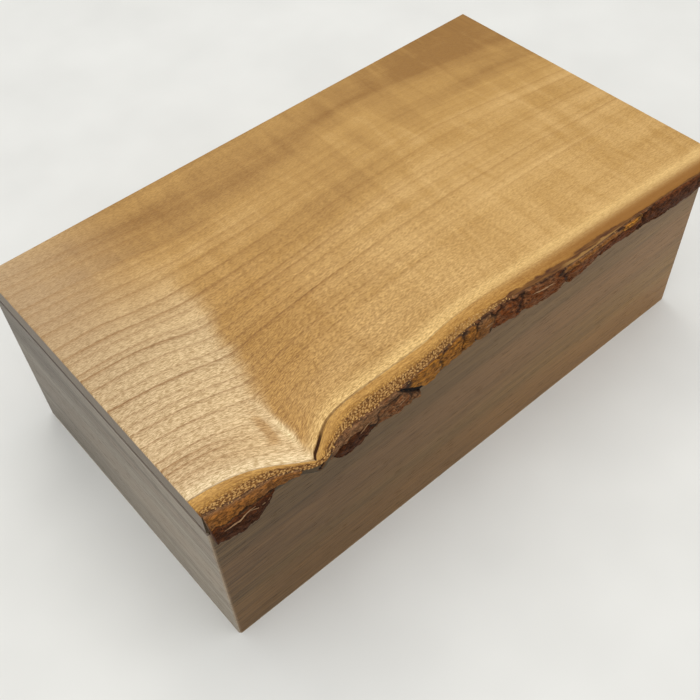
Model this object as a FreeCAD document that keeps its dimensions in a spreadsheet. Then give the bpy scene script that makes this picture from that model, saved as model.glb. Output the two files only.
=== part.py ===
import FreeCAD, Part
import os
import re
import Sketcher
from FreeCAD import Placement, Rotation, Vector

# A wooden puzzle box: a mitred walnut carcass, a cherry lid with its natural edge and bark left on
# along the front, and a hidden spin lock. Two loose pins lie in a bore across the box. When the box
# is spun on its base they fly outwards and let the keeper under the lid go; when it is tilted they
# slide into the keeper's sockets and hold it.
# Millimetres. The origin is the middle of the base, +X runs to the right, +Y to the back, +Z up.

SIZES = [
    ("box_length", 240.0, "carcass outside, left to right"),
    ("box_width", 134.0, "carcass outside, front to back"),
    ("wall_height", 72.0, "carcass walls"),
    ("wall_thickness", 10.0, "carcass walls"),
    ("corner_ease", 0.8, "flat taken off each upright outer corner"),
    ("groove_lift", 5.0, "groove for the bottom panel, above the base"),
    ("groove_depth", 5.0, "groove for the bottom panel, into the wall"),
    ("tongue_thickness", 4.0, "edge of the bottom panel"),
    ("tongue_play", 0.15, "above and below the tongue"),
    ("panel_play", 0.6, "around the bottom panel, for the wood to move"),
    ("spline_width", 8.0, "loose tongue across each mitre"),
    ("spline_thickness", 3.0, "loose tongue across each mitre"),
    ("spline_length", 50.0, "loose tongue, up the corner"),
    ("spline_lift", 11.0, "loose tongue, above the base"),
    ("spline_inset", 5.8, "middle of the loose tongue, in from both outer faces"),
    ("spline_play", 0.1, "around the loose tongue"),
    ("bar_width", 26.0, "lock bar, left to right"),
    ("bar_height", 26.0, "lock bar"),
    ("bar_drop", 8.0, "top of the lock bar, below the rim"),
    ("housing_depth", 4.0, "lock bar's ends, into the walls"),
    ("mortise_floor", 4.0, "wood left under the lock bar's mortise"),
    ("pin_diameter", 8.0, "lock pins"),
    ("pin_length", 34.0, "lock pins"),
    ("pin_chamfer", 1.0, "noses of the lock pins"),
    ("pin_play", 0.3, "around and behind the lock pins"),
    ("pin_setback", 1.0, "free lock pin's nose, clear of the mortise"),
    ("plug_play", 0.05, "around the bore plugs"),
    ("keeper_width", 14.0, "keeper's tongue, left to right"),
    ("keeper_thickness", 12.0, "keeper's tongue, front to back"),
    ("keeper_play", 0.6, "around the keeper's tongue in the mortise"),
    ("socket_depth", 5.0, "pin sockets in the keeper"),
    ("socket_play", 0.4, "around a lock pin in its socket"),
    ("foot_length", 50.0, "keeper's foot, left to right"),
    ("foot_width", 18.0, "keeper's foot, front to back"),
    ("foot_thickness", 5.0, "keeper's foot"),
    ("foot_screw_pitch", 36.0, "between the keeper's two screws"),
    ("seam_gap", 0.4, "between the lid and the rim"),
    ("lid_thickness", 10.0, "lid board"),
    ("live_edge_reach", 8.8, "furthest that the board's natural edge stands past the front wall"),
    ("plank_spare", 4.4, "plank, past the natural edge's furthest reach"),
    ("bark_reach", 9.4, "furthest that the bark stands past the front wall"),
    ("bark_root", 4.4, "back of the bark's uncut form, behind the front wall's face"),
    ("batten_width", 18.0, "lid battens, left to right"),
    ("batten_thickness", 9.0, "lid battens"),
    ("batten_play", 0.6, "between the battens and the walls"),
    ("batten_screw_pitch", 42.0, "between a batten's screws"),
    ("screw_head", 7.0, "countersunk screws, head diameter"),
    ("screw_shank", 3.5, "countersunk screws, shank diameter"),
    ("screw_bite", 6.0, "countersunk screws, into the lid"),
    ("screw_play", 0.1, "around the screws and past their tips"),
]

# The natural edge, as stations from the left end to the right: the share of the length, then how far
# the wood stands past the front wall at the lid's underside, mid-thickness and top, as shares of
# live_edge_reach. The swelling near the left is a knot.
LIVE_EDGE = [
    (0.00, 0.34, 0.18, -0.08),
    (0.05, 0.38, 0.32, 0.18),
    (0.10, 0.16, 0.28, 0.34),
    (0.14, 0.24, 0.60, 0.86),
    (0.16, 0.28, 0.72, 1.00),
    (0.19, 0.32, 0.56, 0.68),
    (0.24, 0.40, 0.46, 0.48),
    (0.33, 0.34, 0.42, 0.42),
    (0.44, 0.12, 0.14, 0.10),
    (0.54, 0.14, 0.18, 0.14),
    (0.63, 0.20, 0.36, 0.46),
    (0.75, 0.12, 0.32, 0.48),
    (0.86, 0.24, 0.42, 0.52),
    (1.00, 0.28, 0.52, 0.74),
]

# The bark's outer face in the same way, as shares of bark_reach. It has come away at the knot, and it
# has split once to the right of it. Beside the split a fifth number leans the station: how far left of
# its foot it lies at the top, as a share of the length.
BARK = {
    "bark_left": [
        (0.006, 0.54, 0.50, 0.26),
        (0.028, 0.64, 0.60, 0.34),
        (0.052, 0.68, 0.64, 0.40),
        (0.078, 0.52, 0.56, 0.44),
        (0.104, 0.30, 0.46, 0.52),
        (0.132, 0.34, 0.64, 0.90),
    ],
    "bark_middle": [
        (0.176, 0.48, 0.74, 0.90),
        (0.208, 0.70, 0.72, 0.70),
        (0.262, 0.58, 0.64, 0.56),
        (0.312, 0.68, 0.68, 0.56, 0.026),
        (0.347, 0.50, 0.54, 0.50, 0.046),
    ],
    "bark_right": [
        (0.358, 0.44, 0.48, 0.50, 0.052),
        (0.405, 0.32, 0.36, 0.38, 0.030),
        (0.460, 0.26, 0.32, 0.26),
        (0.510, 0.26, 0.32, 0.28),
        (0.570, 0.38, 0.44, 0.36),
        (0.640, 0.46, 0.58, 0.56),
        (0.705, 0.36, 0.52, 0.58),
        (0.745, 0.30, 0.48, 0.60),
        (0.815, 0.42, 0.56, 0.60),
        (0.905, 0.52, 0.66, 0.70),
        (0.996, 0.48, 0.70, 0.86),
    ],
}

# How far the waste that is cut off the plank runs past each end, as a share of the length.
WASTE_PAST_END = 0.03

ALIASES = [alias for alias, _, _ in SIZES]

# Levels and half sizes that several pieces share, as formulas on the sheet's cells.
HALF_LENGTH = "(box_length / 2)"
HALF_WIDTH = "(box_width / 2)"
INNER_LENGTH = "(box_length / 2 - wall_thickness)"
INNER_WIDTH = "(box_width / 2 - wall_thickness)"
GROOVE_HEIGHT = "(tongue_thickness + 2 * tongue_play)"
BAR_BOTTOM = "(wall_height - bar_drop - bar_height)"
BAR_HALF = "(box_width / 2 - wall_thickness + housing_depth)"
BORE_LEVEL = "(wall_height - bar_drop - bar_height / 2)"
BORE_RADIUS = "(pin_diameter / 2 + pin_play)"
MORTISE_HALF = "(keeper_thickness / 2 + keeper_play)"
PIN_NOSE = "(keeper_thickness / 2 + keeper_play + pin_setback)"
LID_UNDERSIDE = "(wall_height + seam_gap)"
FOOT_UNDERSIDE = "(wall_height + seam_gap - foot_thickness)"
BATTEN_UNDERSIDE = "(wall_height + seam_gap - batten_thickness)"
BATTEN_MIDDLE = "(box_length / 2 - wall_thickness - batten_play - batten_width / 2)"
SCREW_HOLE = "(screw_shank / 2 + screw_play)"
COUNTERSINK = "(screw_head / 2 - screw_shank / 2)"

doc = FreeCAD.newDocument("puzzle_box")
sheet = doc.addObject("Spreadsheet::Sheet", "Sizes")
for row, (alias, value, meaning) in enumerate(SIZES, start=1):
    sheet.set(f"A{row}", meaning)
    sheet.set(f"B{row}", str(value))
    sheet.setAlias(f"B{row}", alias)
doc.recompute()


def formula(text):
    """Put the sheet's name before every size that the text mentions."""
    def cell(word):
        name = word.group()
        return "Sizes." + name if name in ALIASES else name
    return re.sub(r"[a-z_]+", cell, text)


def size(alias):
    return float(sheet.get(alias))


def new_body(label):
    body = doc.addObject("PartDesign::Body", label)
    body.Label = label
    return body


def new_sketch(body, name, lift="0", role="XY_Plane"):
    """A sketch on one of the body's own origin planes, lifted along that plane's normal."""
    sketch = body.newObject("Sketcher::SketchObject", f"{body.Label}_{name}")
    plane = next(item for item in body.Origin.OriginFeatures if item.Role == role)
    sketch.AttachmentSupport = (plane, "")
    sketch.MapMode = "FlatFace"
    sketch.setExpression("AttachmentOffset.Base.z", formula(lift))
    return sketch


def bind(sketch, constraint, text):
    index = sketch.addConstraint(constraint)
    sketch.setExpression(f"Constraints[{index}]", formula(text))


def fix_point(sketch, geometry, point, across, up, start):
    """Tie one point of a sketch to two formulas, measured from the sketch's origin."""
    bind(sketch, Sketcher.Constraint("DistanceX", -1, 1, geometry, point, start.x), across)
    bind(sketch, Sketcher.Constraint("DistanceY", -1, 1, geometry, point, start.y), up)


def polygon(sketch, corners):
    """A closed outline of straight lines. Each corner is a pair of formulas."""
    count = len(corners)
    turn = Rotation(Vector(0, 0, 1), 360 / count)
    starts = [Vector(10, 3, 0)]
    while len(starts) < count:
        starts.append(turn.multVec(starts[-1]))
    first = sketch.GeometryCount
    for index in range(count):
        sketch.addGeometry(Part.LineSegment(starts[index], starts[(index + 1) % count]))
    for index in range(count):
        after = first + (index + 1) % count
        sketch.addConstraint(Sketcher.Constraint("Coincident", first + index, 2, after, 1))
    for index, (across, up) in enumerate(corners):
        fix_point(sketch, first + index, 1, across, up, starts[index])


def rectangle(sketch, left, right, low, high):
    polygon(sketch, [(left, low), (right, low), (right, high), (left, high)])


def circle(sketch, across, up, radius):
    centre = Vector(2, 3, 0)
    index = sketch.addGeometry(Part.Circle(centre, Vector(0, 0, 1), 1))
    fix_point(sketch, index, 3, across, up, centre)
    bind(sketch, Sketcher.Constraint("Radius", index, 1), radius)


def pad(body, sketch, length, back=False):
    feature = body.newObject("PartDesign::Pad", sketch.Name + "_pad")
    feature.Profile = sketch
    feature.setExpression("Length", formula(length))
    feature.Reversed = back
    return feature


def pocket(body, sketch, depth, along_normal=True):
    feature = body.newObject("PartDesign::Pocket", sketch.Name + "_pocket")
    feature.Profile = sketch
    feature.setExpression("Length", formula(depth))
    feature.Reversed = along_normal
    return feature


def round_edges(feature, sketch):
    """Names of a feature's round edges that lie in a sketch's plane."""
    doc.recompute()
    to_plane = sketch.Placement.inverse()
    names = []
    for number, edge in enumerate(feature.Shape.Edges, start=1):
        if isinstance(edge.Curve, Part.Circle) and abs(to_plane.multVec(edge.Curve.Center).z) < 1e-6:
            names.append(f"Edge{number}")
    return names


def corner_sketch(body, name, x_side, y_side, play):
    """The loose tongue's outline at one corner, turned square to the mitre."""
    sketch = new_sketch(body, name, "spline_lift - " + play)
    sketch.AttachmentOffset = Placement(Vector(), Rotation(Vector(0, 0, 1), -45 * x_side * y_side))
    sketch.setExpression("AttachmentOffset.Base.x", formula(f"{x_side} * ({HALF_LENGTH} - spline_inset)"))
    sketch.setExpression("AttachmentOffset.Base.y", formula(f"{y_side} * ({HALF_WIDTH} - spline_inset)"))
    sketch.setExpression("AttachmentOffset.Base.z", formula("spline_lift - " + play))
    half_width = f"(spline_width / 2 + {play})"
    half_thickness = f"(spline_thickness / 2 + {play})"
    rectangle(sketch, f"-{half_width}", half_width, f"-{half_thickness}", half_thickness)
    return sketch


def wall(label, along_x, side):
    """One mitred wall. side is -1 for the front or left wall and 1 for the back or right one."""
    body = new_body(label)
    half_run, half_across = (HALF_LENGTH, HALF_WIDTH) if along_x else (HALF_WIDTH, HALF_LENGTH)

    def place(run, across):
        return (run, f"{side} * {across}") if along_x else (f"{side} * {across}", run)

    outline = []
    for end in (-1, 1):
        corner = [
            place(f"{end} * ({half_run} - corner_ease)", half_across),
            place(f"{end} * ({half_run} - corner_ease / 2)", f"({half_across} - corner_ease / 2)"),
            place(f"{end} * ({half_run} - wall_thickness)", f"({half_across} - wall_thickness)"),
        ]
        outline += corner if end == 1 else corner[::-1]
    plan = new_sketch(body, "plan")
    polygon(plan, outline)
    pad(body, plan, "wall_height")

    def inner_cut(name, half_span, depth, lift, height):
        cut = new_sketch(body, name, lift)
        face = f"({half_across} - wall_thickness)"
        corners = [(f"-{half_span}", face), (half_span, face),
                   (half_span, f"({face} + {depth})"), (f"-{half_span}", f"({face} + {depth})")]
        polygon(cut, [place(run, across) for run, across in corners])
        pocket(body, cut, height)

    inner_cut("groove", half_run, "groove_depth", "groove_lift", GROOVE_HEIGHT)
    if along_x:
        inner_cut("housing", "(bar_width / 2)", "housing_depth", BAR_BOTTOM, "bar_height")
    for end, name in ((-1, "first_slot"), (1, "second_slot")):
        x_side, y_side = (end, side) if along_x else (side, end)
        slot = corner_sketch(body, name, x_side, y_side, "spline_play")
        pocket(body, slot, "spline_length + 2 * spline_play")
    return body


def corner_spline(label, x_side, y_side):
    body = new_body(label)
    pad(body, corner_sketch(body, "section", x_side, y_side, "0"), "spline_length")
    return body


def bottom_panel():
    """Captive panel: its tongue lies in the walls' groove and its underside is flush with them."""
    body = new_body("bottom_panel")
    field = new_sketch(body, "field")
    field_x = f"({INNER_LENGTH} - panel_play)"
    field_y = f"({INNER_WIDTH} - panel_play)"
    rectangle(field, f"-{field_x}", field_x, f"-{field_y}", field_y)
    pad(body, field, "groove_lift + tongue_play + tongue_thickness")
    tongue = new_sketch(body, "tongue", "groove_lift + tongue_play")
    tongue_x = f"({INNER_LENGTH} + groove_depth - panel_play)"
    tongue_y = f"({INNER_WIDTH} + groove_depth - panel_play)"
    rectangle(tongue, f"-{tongue_x}", tongue_x, f"-{tongue_y}", tongue_y)
    pad(body, tongue, "tongue_thickness")
    return body


def lock_bar():
    body = new_body("lock_bar")
    plan = new_sketch(body, "plan", BAR_BOTTOM)
    rectangle(plan, "-bar_width / 2", "bar_width / 2", f"-{BAR_HALF}", BAR_HALF)
    pad(body, plan, "bar_height")
    mortise = new_sketch(body, "mortise", f"{BAR_BOTTOM} + mortise_floor")
    half_x = "(keeper_width / 2 + keeper_play)"
    rectangle(mortise, f"-{half_x}", half_x, f"-{MORTISE_HALF}", MORTISE_HALF)
    pocket(body, mortise, "bar_height - mortise_floor")
    bore = new_sketch(body, "bore", BAR_HALF, "XZ_Plane")
    circle(bore, "0", BORE_LEVEL, BORE_RADIUS)
    pocket(body, bore, f"2 * {BAR_HALF}", along_normal=False)
    return body


def bore_plug(label, side):
    """Dowel glued into one end of the bore. It stops the pin where the keeper is free."""
    body = new_body(label)
    lift = BAR_HALF if side == -1 else f"-{BAR_HALF}"
    end = new_sketch(body, "end", lift, "XZ_Plane")
    circle(end, "0", BORE_LEVEL, f"{BORE_RADIUS} - plug_play")
    pad(body, end, f"{BAR_HALF} - {PIN_NOSE} - pin_length - pin_play", back=side == -1)
    return body


def lock_pin(label, side):
    body = new_body(label)
    lift = PIN_NOSE if side == -1 else f"-{PIN_NOSE}"
    nose = new_sketch(body, "nose", lift, "XZ_Plane")
    circle(nose, "0", BORE_LEVEL, "pin_diameter / 2")
    rod = pad(body, nose, "pin_length", back=side == 1)
    chamfer = body.newObject("PartDesign::Chamfer", label + "_chamfer")
    chamfer.Base = (rod, round_edges(rod, nose))
    chamfer.setExpression("Size", formula("pin_chamfer"))
    return body


def countersunk_holes(body, places, depth, underside):
    """Clearance holes up from an underside, each with its countersink."""
    holes = new_sketch(body, "screw_holes", underside)
    for across, up in places:
        circle(holes, across, up, SCREW_HOLE)
    bored = pocket(body, holes, depth)
    sink = body.newObject("PartDesign::Chamfer", body.Label + "_countersinks")
    sink.Base = (bored, round_edges(bored, holes))
    sink.setExpression("Size", formula(COUNTERSINK))


def keeper():
    """A foot screwed under the lid and a tongue with a blind socket for each lock pin."""
    body = new_body("keeper")
    foot = new_sketch(body, "foot", FOOT_UNDERSIDE)
    rectangle(foot, "-foot_length / 2", "foot_length / 2", "-foot_width / 2", "foot_width / 2")
    pad(body, foot, "foot_thickness")
    tongue = new_sketch(body, "tongue", FOOT_UNDERSIDE)
    half_x, half_y = "(keeper_width / 2)", "(keeper_thickness / 2)"
    rectangle(tongue, f"-{half_x}", half_x, f"-{half_y}", half_y)
    tongue_end = f"({BAR_BOTTOM} + mortise_floor + keeper_play)"
    pad(body, tongue, f"{FOOT_UNDERSIDE} - {tongue_end}", back=True)
    for side, name in ((-1, "front_socket"), (1, "back_socket")):
        lift = "keeper_thickness / 2" if side == -1 else "-keeper_thickness / 2"
        socket = new_sketch(body, name, lift, "XZ_Plane")
        circle(socket, "0", BORE_LEVEL, "pin_diameter / 2 + socket_play")
        pocket(body, socket, "socket_depth", along_normal=side == 1)
    countersunk_holes(body, KEEPER_SCREWS, "foot_thickness", FOOT_UNDERSIDE)
    return body


def batten(label, side):
    """Cross piece under the lid. The pair drop inside the walls and stop the lid shifting."""
    body = new_body(label)
    plan = new_sketch(body, "plan", BATTEN_UNDERSIDE)
    near = f"{side} * ({BATTEN_MIDDLE} - batten_width / 2)"
    far = f"{side} * ({BATTEN_MIDDLE} + batten_width / 2)"
    end = f"({INNER_WIDTH} - batten_play)"
    rectangle(plan, near, far, f"-{end}", end)
    pad(body, plan, "batten_thickness")
    countersunk_holes(body, batten_screw_places(side), "batten_thickness", BATTEN_UNDERSIDE)
    return body


def batten_screw_places(side):
    across = f"{side} * {BATTEN_MIDDLE}"
    return [(across, f"{step} * batten_screw_pitch") for step in (-1, 0, 1)]


KEEPER_SCREWS = [(f"{side} * foot_screw_pitch / 2", "0") for side in (-1, 1)]
BATTEN_SCREWS = batten_screw_places(-1) + batten_screw_places(1)


def screws(label, places, underside, grip):
    """Countersunk screws driven up into the lid, as one group of separate solids."""
    group = []
    for number, (across, up) in enumerate(places, start=1):
        head = doc.addObject("Part::Cone", f"{label}_head_{number}")
        head.setExpression("Radius1", formula("screw_head / 2"))
        head.setExpression("Radius2", formula("screw_shank / 2"))
        head.setExpression("Height", formula(COUNTERSINK))
        shank = doc.addObject("Part::Cylinder", f"{label}_shank_{number}")
        shank.setExpression("Radius", formula("screw_shank / 2"))
        shank.setExpression("Height", formula(f"{grip} + screw_bite - {COUNTERSINK}"))
        for piece, level in ((head, underside), (shank, f"{underside} + {COUNTERSINK}")):
            piece.setExpression("Placement.Base.x", formula(across))
            piece.setExpression("Placement.Base.y", formula(up))
            piece.setExpression("Placement.Base.z", formula(level))
        screw = doc.addObject("Part::Fuse", f"{label}_{number}")
        screw.Base = head
        screw.Tool = shank
        group.append(screw)
    compound = doc.addObject("Part::Compound", label)
    compound.Label = label
    compound.Links = group
    return compound


def edge_sketch(body, name, level_number, stations, reach, straight_side):
    """A region between a natural edge, as a curve through its stations, and a straight line."""
    points = []
    for share, underside, middle, top, *lean in stations:
        rise, overhang = ((0, underside), (0.5, middle), (1, top))[level_number]
        x = (share - rise * sum(lean) - 0.5) * size("box_length")
        y = -size("box_width") / 2 - overhang * reach
        points.append(Vector(x, y, 0))
    curve = Part.BSplineCurve()
    curve.interpolate(points)
    sketch = new_sketch(body, name, f"{LID_UNDERSIDE} + lid_thickness * {level_number / 2}")
    sketch.addGeometry(curve)
    sketch.addConstraint(Sketcher.Constraint("Block", 0))
    first, last = points[0], points[-1]
    right = Vector(last.x, straight_side, 0)
    left = Vector(first.x, straight_side, 0)
    for begin, end in ((last, right), (right, left), (left, first)):
        sketch.addGeometry(Part.LineSegment(begin, end))
    for line, before in ((1, (0, 2)), (2, (1, 2)), (3, (2, 2))):
        sketch.addConstraint(Sketcher.Constraint("Coincident", *before, line, 1))
    sketch.addConstraint(Sketcher.Constraint("Coincident", 3, 2, 0, 1))
    sketch.addConstraint(Sketcher.Constraint("Vertical", 1))
    sketch.addConstraint(Sketcher.Constraint("Vertical", 3))
    sketch.addConstraint(Sketcher.Constraint("DistanceY", -1, 1, 2, 1, straight_side))
    sketch.addConstraint(Sketcher.Constraint("Horizontal", 2))
    return sketch


def edge_loft(body, kind, stations, reach, straight_side):
    """Ruled loft up the lid's thickness, through the edge at its underside, middle and top."""
    sections = []
    for number, name in enumerate(("underside", "middle", "top")):
        sections.append(edge_sketch(body, name, number, stations, reach, straight_side))
    loft = body.newObject(kind, body.Label + "_edge")
    loft.Profile = sections[0]
    loft.Sections = sections[1:]
    loft.Ruled = True


def lid_board():
    """The board is cut from a wider plank by taking off the waste in front of its natural edge."""
    body = new_body("lid_board")
    plank = new_sketch(body, "plank", LID_UNDERSIDE)
    plank_front = f"-({HALF_WIDTH} + live_edge_reach + plank_spare)"
    rectangle(plank, f"-{HALF_LENGTH}", HALF_LENGTH, plank_front, HALF_WIDTH)
    pad(body, plank, "lid_thickness")
    first, last = LIVE_EDGE[0], LIVE_EDGE[-1]
    run_past = [(-WASTE_PAST_END, *first[1:])] + LIVE_EDGE + [(1 + WASTE_PAST_END, *last[1:])]
    waste_front = -size("box_width") / 2 - size("live_edge_reach") - 2 * size("plank_spare")
    edge_loft(body, "PartDesign::SubtractiveLoft", run_past, size("live_edge_reach"), waste_front)
    pilots = new_sketch(body, "pilot_holes", LID_UNDERSIDE)
    for across, up in KEEPER_SCREWS + BATTEN_SCREWS:
        circle(pilots, across, up, SCREW_HOLE)
    pocket(body, pilots, "screw_bite + screw_play")
    return body


def bark(label, board):
    """A strip of bark, grown onto the board's edge and cut off by it at the back."""
    form = new_body(label + "_form")
    root = -size("box_width") / 2 + size("bark_root")
    edge_loft(form, "PartDesign::AdditiveLoft", BARK[label], size("bark_reach"), root)
    strip = doc.addObject("Part::Cut", label)
    strip.Label = label
    strip.Base = form
    strip.Tool = board
    return strip


subparts = [
    wall("wall_front", True, -1),
    wall("wall_back", True, 1),
    wall("wall_left", False, -1),
    wall("wall_right", False, 1),
    bottom_panel(),
    corner_spline("corner_spline_front_left", -1, -1),
    corner_spline("corner_spline_front_right", 1, -1),
    corner_spline("corner_spline_back_left", -1, 1),
    corner_spline("corner_spline_back_right", 1, 1),
    lock_bar(),
    bore_plug("bore_plug_front", -1),
    bore_plug("bore_plug_back", 1),
    lock_pin("lock_pin_front", -1),
    lock_pin("lock_pin_back", 1),
    keeper(),
    screws("keeper_screws", KEEPER_SCREWS, FOOT_UNDERSIDE, "foot_thickness"),
    batten("batten_left", -1),
    batten("batten_right", 1),
    screws("batten_screws", BATTEN_SCREWS, BATTEN_UNDERSIDE, "batten_thickness"),
]
board = lid_board()
subparts.append(board)
subparts += [bark(label, board) for label in BARK]
doc.recompute()

for item in doc.Objects:
    if "Invalid" in item.State or "Error" in item.State:
        raise RuntimeError(f"{item.Label} failed: {item.State}")
    if item.isDerivedFrom("PartDesign::Pocket") and item.Shape.Volume >= item.BaseFeature.Shape.Volume:
        raise RuntimeError(f"{item.Label} cuts nothing")
for part in subparts:
    if part.Shape.isNull() or not part.Shape.isValid():
        raise RuntimeError(f"{part.Label} has no valid shape")

os.makedirs("parts", exist_ok=True)
for part in subparts:
    part.Shape.exportStep(f"parts/{part.Label}.step")
    print(part.Label, len(part.Shape.Solids), round(part.Shape.Volume, 1))
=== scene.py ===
"""Looks of the puzzle box: a walnut carcass under a cherry lid with its natural edge and bark."""
import math

import bpy
import numpy as np
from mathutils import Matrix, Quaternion, Vector, noise
from mathutils.bvhtree import BVHTree


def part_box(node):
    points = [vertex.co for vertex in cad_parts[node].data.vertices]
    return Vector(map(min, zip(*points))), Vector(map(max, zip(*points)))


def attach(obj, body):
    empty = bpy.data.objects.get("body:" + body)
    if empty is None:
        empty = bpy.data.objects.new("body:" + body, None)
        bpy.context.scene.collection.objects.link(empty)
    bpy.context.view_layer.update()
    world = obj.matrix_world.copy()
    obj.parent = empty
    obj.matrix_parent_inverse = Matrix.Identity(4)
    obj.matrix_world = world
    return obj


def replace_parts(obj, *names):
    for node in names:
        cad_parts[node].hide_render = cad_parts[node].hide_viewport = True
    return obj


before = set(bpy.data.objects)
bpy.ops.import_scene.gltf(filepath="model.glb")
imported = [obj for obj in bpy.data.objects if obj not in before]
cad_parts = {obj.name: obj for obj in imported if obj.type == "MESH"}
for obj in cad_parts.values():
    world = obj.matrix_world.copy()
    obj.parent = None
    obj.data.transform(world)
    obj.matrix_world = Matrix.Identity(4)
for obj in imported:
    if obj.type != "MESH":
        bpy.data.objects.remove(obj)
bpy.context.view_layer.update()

# The frame's own places in metres, then sizes in millimetres.
MM = 0.001
LEFT_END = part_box("wall_left")[0].x
FRONT_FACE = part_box("wall_front")[0].y
BEFORE_FRONT = FRONT_FACE - 0.1
LID_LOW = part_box("lid_board")[0].z
LID_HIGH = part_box("lid_board")[1].z
HALF_LENGTH = -LEFT_END / MM
HALF_WIDTH = -FRONT_FACE / MM
SEAM_HEIGHT = LID_LOW / MM
LID_BACK = (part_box("lid_board")[1].y - FRONT_FACE) / MM
LID_LENGTH = (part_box("lid_board")[1].x - LEFT_END) / MM
LID_THICKNESS = (LID_HIGH - LID_LOW) / MM

# Lines on the lid's planed top, in millimetres: from the left end, then behind the front wall's face.
# The thin dark ring under the bark, which dips to the knot, and the start of the pebbled inner bark.
RING_LINE = [(0, 7.6), (7, 7.1), (14, 5.8), (19, 4.2), (24, 1.8), (28.5, -1.0), (32, -3.4), (35.5, -5.5),
             (36.9, -6.1), (38, -4.6), (40, -3.2), (43, -1.0), (46, 1.2), (50, 3.0), (55, 4.0), (62, 4.5),
             (90, 4.7), (105, 6.2), (116, 6.5), (139, 5.0), (160, 3.6), (185, 2.5), (240, -0.6)]
PEBBLE_LINE = [(0, 2.6), (9, 2.4), (18, 1.5), (23, 0.5), (28, -2.2), (33, -5.2), (37, -7.2), (39, -7.2),
               (42, -5.3), (47, -3.4), (52, -1.2), (57, 0.2), (65, 0.7), (80, 0.1), (95, 0.9), (108, 2.8),
               (122, 2.0), (146, 0.3), (160, -0.4), (177, -1.0), (184, -2.4), (205, -3.2), (240, -4.6)]
KNOT = 37.0
PEBBLES_END = 130.0

# Growth rings that guide the grain between them, from the front ring to the back of the board.
GROWTH_GUIDES = [
    RING_LINE,
    [(0, 37.6), (16, 36), (28, 33.4), (42, 30.4), (56, 33.4), (72, 36.0), (105, 38), (170, 39), (240, 36)],
    [(0, 67.6), (16, 66.5), (28, 64.5), (45, 60), (64, 61), (96, 63), (134, 65.6), (186, 63.4), (240, 58.4)],
    [(0, 84.4), (16, 83.6), (32, 80.6), (46, 79.2), (84, 80), (124, 83.4), (166, 83.6), (206, 79),
     (240, 74)],
    [(0, 108), (36, 105), (62, 102), (116, 102), (150, 102.6), (186, 99.4), (216, 95), (240, 90)],
]
GUIDE_PAST_ENDS = 32.0

# The dark growth lines, named by their distance behind the front at the left end, and how dark they are.
GROWTH_LINES = [(12.2, 0.35), (15.5, 0.45), (19.3, 0.7), (21.4, 0.75), (24.6, 0.75), (28.9, 0.4),
                (32.5, 0.75), (38.1, 0.7), (41.9, 0.5), (45.6, 0.45), (51.2, 1.0), (55.4, 0.5), (61.6, 0.58),
                (67.4, 0.75), (70.4, 0.65), (75.9, 0.45), (79.2, 0.7), (84.9, 0.65), (93, 0.5), (98, 0.4),
                (104.4, 0.4), (108.7, 0.4), (117.6, 0.35), (122, 0.3), (126, 0.3)]
# How a line comes up slowly from the bark side and ends sharply: distance before its darkest, and the share.
GROWTH_PROFILE = [(1.2, 0.1), (0.45, 0.4), (0.0, 1.0), (-0.4, 0.0)]
GROWTH_WIDENING = 110.0
# One curve holds few points, so the lines are shared among several, from these starts.
GROWTH_STARTS = (8, 40, 73, 106)
GROWTH_REACH = 33.0

# Where the grain turns over the buried branch: behind the front, then from the left end.
BRANCH_LINE = [(-8, 37), (8, 38.4), (16, 38), (24, 39), (35, 41.6), (48, 44.4), (70, 48), (134, 52)]

# Flames beside the knot: from the left end, behind the front, half width, half depth, and how pale they are
# (or how brown, below 0).
KNOT_FLAMES = [(36.6, 7.5, 1.5, 7.0, 1.4), (32.9, 13.0, 2.1, 7.5, -1.3), (38.5, 7.0, 0.5, 6.5, -1.0),
               (31.0, 7.5, 2.4, 2.2, -0.7), (34.0, 24.0, 1.6, 2.6, -0.5)]

# How the lid's skin is marked for its finish, from the wood out to the bark.
BACK_EDGE = -1.0
PLANED_WOOD = -0.05
LAST_RING = 0.0
INNER_BARK = 0.06
BEADS = 1.0
BARE_EDGE = 2.5

# The lid's mesh in millimetres: eased edges, steps and rows, and the relief of the ring, beads and knot.
EDGE_EASE = 0.4
END_INSET = 0.05
SECTION_STEP = 0.6
TOP_ROWS = 58
TOP_CROWDING = 1.7
INNER_BARK_ROWS = 7
BEAD_BED_ROWS = 8
EDGE_ROWS = 14
UNDERSIDE_ROWS = 15
INNER_BARK_LEAST = 0.5
BEAD_BED_LEAST = 0.4
BEAD_BED_DROP = 0.05
BEAD_BED_DIP = 0.3
RING_GROOVE = 0.24
RING_GROOVE_DEPTH = 0.04
SPLIT_WIDTH = 0.4
SPLIT_DEPTH = 0.6
KNOT_SWELL = 1.6
KNOT_CHIP = 0.7

# The foot of each strip of bark, from the left end and down from the top as a share of the thickness.
BARK_FOOT = {
    "bark_left": [(0, 1.0), (14, 1.0), (20, 0.86), (25, 0.62), (29, 0.5), (34, 0.32)],
    "bark_middle": [(40, 0.45), (44, 0.85), (48, 1.0), (56, 1.0), (61, 0.84), (66, 0.86), (72, 1.0),
                    (90, 1.0)],
    "bark_right": [(70, 1.0), (88, 0.96), (98, 0.8), (108, 0.86), (116, 0.78), (122, 0.84), (131, 0.98),
                   (162, 1.0), (240, 1.0)],
}

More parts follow.
